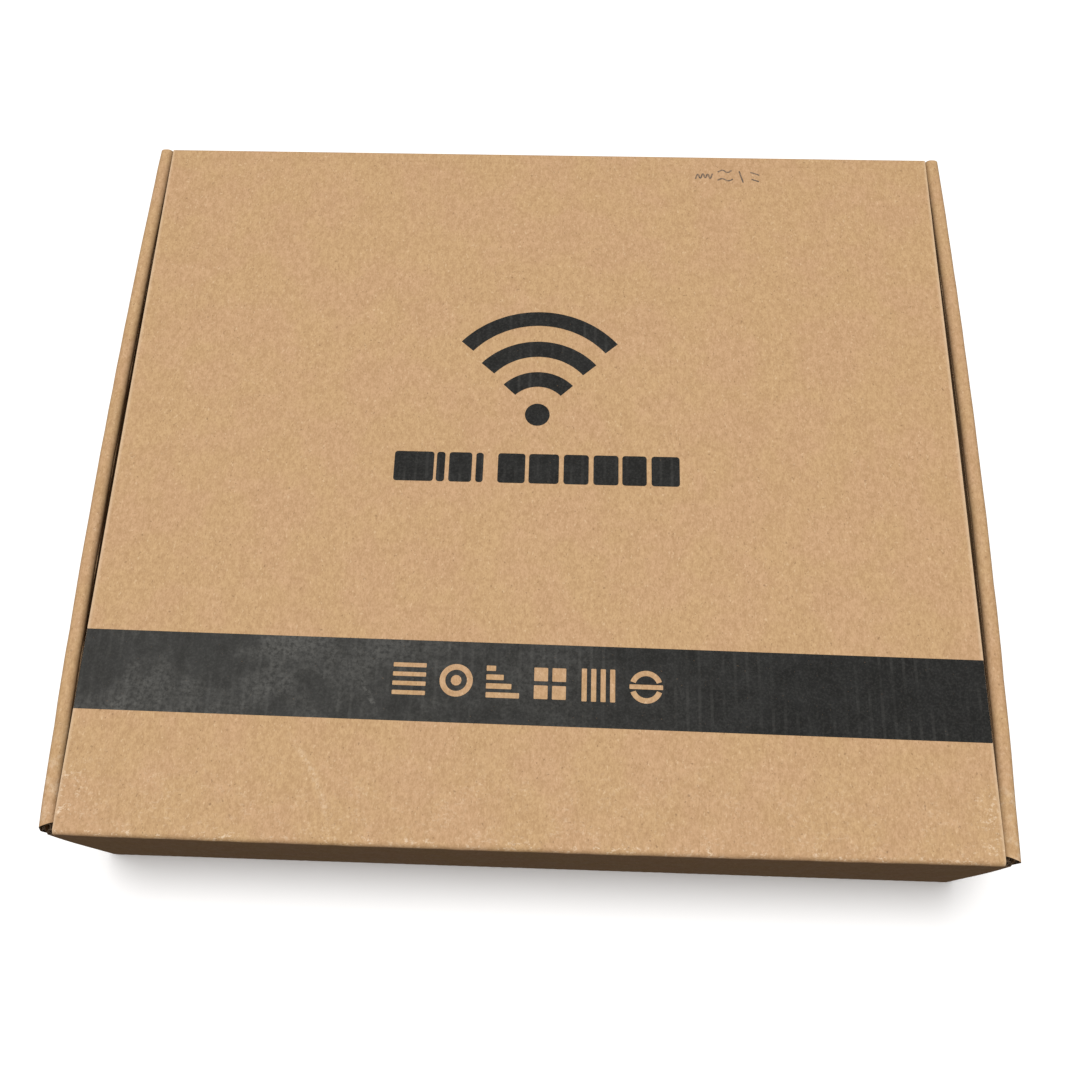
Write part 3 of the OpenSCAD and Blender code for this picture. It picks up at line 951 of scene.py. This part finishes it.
def make_ear(side, word):
    length = 28.0
    foot = 35.0
    root = 2.0
    slope = math.tan(math.radians(34))

    def heights(along):
        bottom = -foot + np.clip(along - (length - 6), 0, 6)
        return bottom, -3 - along * slope

    path = [(EAR_X, root), (EAR_X, length - 6), (EAR_X, length)]
    parts = board(path, heights, "xy", "span", start=root, warp=in_flap)
    piece = build(f"{word}_ear_board", mirrored(parts, side), [KRAFT_UPRIGHT, EDGE])
    finish_piece(piece, f"ear_{word}", "kraft_board", f"{word}_ear")

    inside = FLAP_HALF - 0.15
    outer = [(inside, -HALF)] + arc((EAR_X - 0.1, 0.1), (0.85, 0.85), 270, 360)
    outer += [(EAR_X + HALF, root)]
    inner = [(inside, HALF)] + arc((EAR_X - 1.05, HALF + 0.3), (0.3, 0.3), 270, 360, 5)
    inner += [(EAR_X - HALF, root)]

    def strip(share):
        return np.full(len(share), -foot + 1.0), -3.4 - 1.2 * share

    strip_parts = fold(outer, inner, strip, "xy", 22, in_flap, 12)
    crease = build(f"{word}_ear_crease", mirrored(strip_parts, side), [KRAFT_UPRIGHT, EDGE])
    start = flap_point(side * inside, HALF, -15) * MM
    end = flap_point(side * (inside + 1.7), HALF + 1.7, -15) * MM
    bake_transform(crease)
    finish_piece(crease, None, "kraft_board")


# ---- print on the lid

def film(points, lift=FILM):
    """A thin closed film of ink over a grid of (x, y) points on the lid."""
    x, y = points[..., 0], points[..., 1]
    flat = TOP - LID_DROP - RIB * (1 - np.cos(2 * np.pi * x / PITCH)) / 2
    over, under = (lid_warp(np.stack([x, y, flat + rise], -1)) for rise in (lift, -0.06))
    return sheet(over, under, 0, 0)


def ring_film(centre, inner, outer, start, end, lift=FILM):
    """A film in the shape of a ring's sector, with angles in degrees."""
    angles = np.radians(np.linspace(start, end, max(12, int(abs(end - start) * outer / 45))))
    radii = np.linspace(inner, outer, max(3, int((outer - inner) / 0.7)))
    x = centre[0] + radii[:, None] * np.cos(angles)
    y = centre[1] + radii[:, None] * np.sin(angles)
    return film(np.stack([x, y], -1), lift)


def block_film(low, high, radius=0.0, lift=FILM, slope=0.0):
    """A rectangular film with round corners. slope tilts it, as dy/dx."""
    radius = max(radius, 0.02)
    corner = [radius * (1 - math.cos(math.radians(a))) for a in range(0, 91, 18)]
    rows = max(2, int((high[1] - low[1] - 2 * radius) / 1.5))
    y = np.r_[[low[1] + c for c in corner], np.linspace(low[1] + radius, high[1] - radius, rows)[1:-1]]
    y = np.r_[y, [high[1] - c for c in corner[::-1]]]
    near = np.clip(radius - np.minimum(y - low[1], high[1] - y), 0, radius)
    inset = radius - np.sqrt(np.maximum(radius**2 - near**2, 0))
    columns = max(3, int((high[0] - low[0]) / (PITCH / 6)) + 1)
    share = np.linspace(0, 1, columns)
    x = (low[0] + inset)[:, None] + (high[0] - low[0] - 2 * inset)[:, None] * share
    y = y[:, None] + slope * x
    return film(np.stack([x, np.broadcast_to(y, x.shape)], -1), lift)


# centre y, inner radius, outer radius and half angle of each arc of the pictogram
ARCS = ((19.5, 26.9, 31.9, 49.2), (17.3, 18.1, 23.5, 48.6), (15.5, 9.5, 14.6, 46.5))
DOT_Y = 15.5
DOT_R = 3.75

# left and right edge of each block of the title line
TITLE = (
    (-41.9, -30.1), (-29.3, -26.8), (-25.6, -18.8), (-17.6, -15.4),
    (-11.1, -3.0), (-1.9, 7.0), (8.4, 15.8), (17.2, 24.6), (25.7, 32.9), (34.3, 42.6),
)
TITLE_LOW = -7.2
TITLE_HIGH = 2.4
BAND_TOP = -56.15
BAND_BOTTOM = -79.0
BAND_SLOPE = -0.0083
TILE_Y = -67.2
TILE_X = (-32.9, -19.9, -7.0, 6.0, 19.3, 32.4)


def print_on_lid(name, parts, material):
    finish_piece(build(name, parts, [material]), "lid", "printed_board")


def make_pictogram():
    parts = [ring_film((0.1, y), inner, outer, 90 - half, 90 + half) for y, inner, outer, half in ARCS]
    parts.append(ring_film((0.1, DOT_Y), 0.02, DOT_R, 0, 359.99))
    print_on_lid("lid_pictogram", parts, INK)


def make_title():
    """Ten plain blocks in the rhythm of a title line, with no lettering."""
    parts = [block_film((left, TITLE_LOW), (right, TITLE_HIGH), 0.9) for left, right in TITLE]
    print_on_lid("lid_title_blocks", parts, INK)


def make_band():
    edge = LID_HALF - 0.04
    parts = [block_film((-edge, BAND_BOTTOM), (edge, BAND_TOP), 0, slope=BAND_SLOPE)]
    print_on_lid("lid_band", parts, BAND_INK)


def tile_parts(index, x, y):
    """One of six plain emblems of bars, rings and squares, each about 9 mm across."""
    lift = FILM + 0.02
    half = 4.6
    square = 1.9
    places = (-3.9, -1.3, 1.3, 3.9)

    def block(x0, y0, x1, y1):
        return block_film((x + x0, y + y0), (x + x1, y + y1), 0.2, lift, BAND_SLOPE)

    def ring(inner, outer, start=0.0, end=359.99, dx=0.0, dy=0.0):
        centre = (x + dx, y + dy + BAND_SLOPE * x)
        return ring_film(centre, inner, outer, start, end, lift)

    if index == 0:
        return [block(-half, k - 0.6, half, k + 0.6) for k in places]
    if index == 1:
        return [ring(3.0, half), ring(0.02, 1.5)]
    if index == 2:
        steps = [(1.25 * k, half - 1.1 * (k + 3)) for k in (-3, -1, 1, 3)]
        return [block(-half, middle - 0.75, end, middle + 0.75) for middle, end in steps]
    if index == 3:
        middles = [(sx * 2.5, sy * 2.5) for sx in (-1, 1) for sy in (-1, 1)]
        return [block(mx - square, my - square, mx + square, my + square) for mx, my in middles]
    if index == 4:
        return [block(k - 0.7, -half, k + 0.7, half) for k in places]
    return [ring(3.1, half, 20, 160), ring(3.1, half, 200, 340), block(-half, -0.65, half, 0.65)]


def make_tiles():
    parts = []
    for index, x in enumerate(TILE_X):
        parts += tile_parts(index, x, TILE_Y)
    print_on_lid("lid_band_emblems", parts, BAND_KRAFT)


def stroke(points, width=0.5):
    """A pencil stroke: a film that follows a smooth line."""
    line = np.array(points, float)
    for _ in range(3):
        cut_at = line[:-1] + (line[1:] - line[:-1]) * 0.25
        cut_on = line[:-1] + (line[1:] - line[:-1]) * 0.75
        line = np.concatenate([line[:1], np.stack([cut_at, cut_on], 1).reshape(-1, 2), line[-1:]])
    line = refine(line, 0.5)
    side = normals(line)
    taper = np.minimum(1, np.minimum(np.arange(len(line)), np.arange(len(line))[::-1]) / 3 + 0.45)
    wide = (width / 2 * taper)[:, None] * side
    return film(np.stack([line - wide, line, line + wide], 1))


def make_pencil_mark():
    """A meaningless pencil scribble: a zigzag, two waves and a few dashes."""
    x, y = 49.5, 101.2
    zigzag = [(0, 2.0), (0.9, 4.6), (1.6, 1.6), (2.5, 4.9), (3.2, 1.9), (4.1, 4.7), (4.8, 1.7), (5.6, 4.3)]
    strokes = (
        zigzag,
        [(7.4, 4.9), (9.0, 6.0), (10.4, 4.5), (12.0, 5.7)],
        [(7.2, 1.6), (8.9, 2.6), (10.6, 1.2), (12.3, 2.2)],
        [(14.4, 5.4), (15.6, 0.8)],
        [(18.0, 5.0), (21.0, 3.9)],
        [(18.3, 2.2), (20.8, 1.3)],
    )
    parts = [stroke([(x + px, y + py) for px, py in points]) for points in strokes]
    print_on_lid("lid_pencil_mark", parts, PENCIL)


# ---- insert and leaflet

INSERT_RIB = 0.02
BAY_WINDOW = (90, 140)


def make_insert():
    mid_z = DECK_LOW[2] + HALF
    front, back = DECK_LOW[1] + HALF, DECK_HIGH[1] - HALF
    leg_top = mid_z - 2.2
    path = [(front, leg_top)] + arc((front + CREASE, mid_z - CREASE), (CREASE, CREASE), 180, 90)
    path += arc((back - CREASE, mid_z - CREASE), (CREASE, CREASE), 90, 0) + [(back, leg_top)]
    deck = board(path, (DECK_LOW[0], DECK_HIGH[0]), "yz", "path", rib=INSERT_RIB)
    piece = build("insert_deck_board", deck, [KRAFT_INSERT, EDGE])
    case_low, case_high = box_mm("router_top_shell")
    centre = (case_low + case_high) / 2
    width = case_high[0] - case_low[0] + 2
    leaf = middle_mm("quick_start_leaflet")
    windows = [
        prism(rounded_outline(centre, (width, width), 27, 14), mid_z - 3, mid_z + 3),
        prism(rounded_outline(leaf, BAY_WINDOW, 2.5, 6), mid_z - 3, mid_z + 3),
    ]
    cut(piece, windows)
    finish_piece(piece, "root", "insert_board", "insert_deck")
    for node in ("insert_front_leg", "insert_back_leg"):
        y = middle_mm(node)[1]
        path = [(y, box_mm(node)[0][2] + 0.1), (y, leg_top)]
        insert_panel(node, board(path, (DECK_LOW[0], DECK_HIGH[0]), "yz", "path", rib=INSERT_RIB))
    for node in ("insert_left_leg", "insert_right_leg", "insert_divider"):
        x = middle_mm(node)[0]
        low, high = box_mm(node)
        path = [(x, low[2] + 0.1), (x, high[2] - 0.05)]
        insert_panel(node, board(path, (front + HALF, back - HALF), "xz", "span", rib=INSERT_RIB))


def insert_panel(node, parts):
    piece = build(node + "_board", parts, [KRAFT_INSERT, EDGE])
    finish_piece(piece, "root", "insert_board", node)


def make_leaflet():
    """A folded leaflet: four thin leaves, close together at one side and slightly sprung open towards the
    other.
    """
    low, high = box_mm("quick_start_leaflet")
    leaves = 4
    parts = []
    thick = 0.12
    lift = (high[2] - low[2] - thick) / (leaves - 1)
    x = np.linspace(low[0], high[0], 24)[:, None]
    y = np.linspace(low[1], high[1], 24)[None, :]
    share = (x - low[0]) / (high[0] - low[0])
    for k in range(leaves):
        spread = low[2] + 0.02 + k * (0.16 + (lift - 0.16) * share**1.5) + 0 * y
        grid = np.stack([x + 0 * y - 0.15 * k * share, y + 0 * x, spread], -1)
        over = grid.copy()
        over[..., 2] += thick
        parts.append(sheet(over, grid, 0, 0))
    finish_piece(build("leaflet_pages", parts, [PAPER]), "root", "leaflet_paper", "quick_start_leaflet")


# ---- router

def case_ring(centre, width, radius, z):
    outline = rounded_outline(centre, (width, width), radius, 14)
    return np.c_[np.array(outline), np.full(len(outline), z)]


def make_case():
    """The router's upper case: soft shoulders and a shallow dish in a slightly domed top."""
    low, high = box_mm("router_top_shell")
    centre = (low + high) / 2
    width = high[0] - low[0]
    radius = 26.0
    wall = 2.0
    shoulder = 6.0
    roof = high[2]
    outer = [case_ring(centre, width, radius, low[2]), case_ring(centre, width, radius, roof - shoulder)]
    for a in np.radians(range(12, 91, 13)):
        inset = shoulder * (1 - math.cos(a))
        z = roof - shoulder * (1 - math.sin(a)) - 0.5
        outer.append(case_ring(centre, width - 2 * inset, radius - inset, z))
    dish = ((0.84, 0.28), (0.70, 0.10), (0.62, -0.35), (0.45, -0.50), (0.25, -0.58), (0.08, -0.60))
    for share, rise in dish:
        outer.append(case_ring(centre, width * share, (radius - shoulder) * share, roof - 0.5 + rise))
    inner = []
    for share, z in ((0.08, roof - 3.2), (0.80, roof - 3.2), (0.93, roof - 5.5)):
        inner.append(case_ring(centre, (width - 2 * wall) * share, (radius - wall) * share, z))
    inner.append(case_ring(centre, width - 2 * wall, radius - wall, roof - shoulder - 2))
    inner.append(case_ring(centre, width - 2 * wall, radius - wall, low[2]))
    piece = build("router_case", [tube_closed(outer[::-1] + inner[::-1])], [CASE_WHITE], 30)
    cutters = []
    jack_low, jack_high = box_mm("router_network_jacks")
    jack_w = 15.6
    for x0, x1 in ((jack_low[0], jack_low[0] + jack_w), (jack_high[0] - jack_w, jack_high[0])):
        at = ((x0 + x1) / 2, high[1])
        outline = rounded_outline(at, (x1 - x0 + 0.4, 8), 0.5, 3)
        cutters.append(prism(outline, jack_low[2] - 0.2, jack_high[2] + 0.2))
    cutters.append(drill("router_power_jack", 3.9, high[1]))
    cutters.append(drill("router_pair_button", 4.3, high[1]))
    at = middle_mm("router_status_lens")
    low_z = box_mm("router_status_lens")[0][2]
    cutters.append(prism(rounded_outline(at, (4.0, 4.0), 1.99, 8), low_z, roof + 2))
    cut(piece, cutters, 30)
    finish_piece(piece, "root", "case_white", "router_top_shell")


def drill(node, radius, wall_y):
    """A round cutter through the case's back wall, on the middle of a CAD node."""
    middle = middle_mm(node)

    def turn(verts):
        return np.c_[verts[:, 0] + middle[0], verts[:, 2] + wall_y, verts[:, 1] + middle[2]]

    return prism(rounded_outline((0, 0), (2 * radius, 2 * radius), radius - 0.01, 12), -4, 3, turn)


def paint(material, *nodes):
    for node in nodes:
        piece = frame["nodes"][node]
        piece.data.materials.clear()
        piece.data.materials.append(material)


def paint_router():
    paint(CASE_GREY, "router_bottom_shell")
    paint(GREEN_LAMINATE, "router_circuit_board")
    paint(ANTENNA_LAMINATE, "router_left_antenna", "router_right_antenna", "router_front_antenna")
    paint(TINNED, "router_shield_cans")
    paint(ALUMINIUM, "router_heat_spreader")
    paint(STEEL, "router_screws")
    paint(JACK_BLACK, "router_network_jacks", "router_power_jack", "router_pair_switch")
    paint(BUTTON_GREY, "router_pair_button")
    paint(LENS, "router_status_lens")
    paint(RUBBER, "router_rubber_feet")


def make_floor():
    half = 4.0
    mesh = bpy.data.meshes.new("floor")
    corners = [(-half, -half, 0), (half, -half, 0), (half, half, 0), (-half, half, 0)]
    mesh.from_pydata(corners, [], [(0, 1, 2, 3)])
    mesh.materials.append(floor_paint("floor_paint"))
    floor = add("floor", mesh)
    floor.visible_diffuse = False
    floor.visible_glossy = False


# ---- everything

make_camera()
make_light()
make_floor()

KRAFT = kraft("kraft_flat")
KRAFT_UPRIGHT = kraft("kraft_upright", ALONG_Z)
# painted shade: the front wall's kraft is the same paper painted darker (0.86), because that wall faces away
# from the light
KRAFT_FRONT_PAINTED_SHADE = kraft("kraft_front_painted_shade", ALONG_Z, 0.86)
KRAFT_INSERT = kraft("kraft_insert", ALONG_Y, 1.04)
LID_PAPER = lid_kraft("kraft_lid")
EDGE = cut_edge("cut_edge")
INK = ink("black_ink", 0.011, 0.0)
BAND_INK = ink("band_ink", 0.011, 0.30)
BAND_KRAFT = kraft("kraft_in_band", ALONG_Y, 0.97)
PENCIL = pencil("pencil")
PAPER = white_paper("leaflet_paper")
CASE_WHITE = plastic("case_white", (0.66, 0.66, 0.65, 1))
CASE_GREY = plastic("case_grey", (0.42, 0.42, 0.42, 1))
JACK_BLACK = plastic("jack_black", (0.025, 0.025, 0.027, 1), 0.38)
BUTTON_GREY = plastic("button_grey", (0.33, 0.34, 0.35, 1), 0.36)
GREEN_LAMINATE = laminate("green_laminate", (0.02, 0.15, 0.07, 1), (0.05, 0.26, 0.13, 1))
ANTENNA_LAMINATE = laminate("antenna_laminate", (0.42, 0.33, 0.14, 1), (0.66, 0.36, 0.16, 1))
TINNED = metal("tinned_steel", (0.74, 0.74, 0.72, 1), 0.32)
ALUMINIUM = metal("aluminium", (0.80, 0.81, 0.82, 1), 0.36)
STEEL = metal("zinc_steel", (0.60, 0.61, 0.62, 1), 0.30, (1.0, 1.0, 1.0))
RUBBER = rubber("rubber")
LENS = lens("lens")

make_base()
make_front_wall()
make_back_wall()
for word, side in (("left", -1), ("right", 1)):
    make_corner_flap(side, -1, f"front_{word}_corner_flap")
    make_corner_flap(side, 1, f"back_{word}_corner_flap")
    make_side(side, word)
    make_ear(side, word)
make_lid()
make_lid_crease()
make_front_fold()
make_tuck_flap()
make_pictogram()
make_title()
make_band()
make_tiles()
make_pencil_mark()
make_insert()
make_leaflet()
make_case()
paint_router()
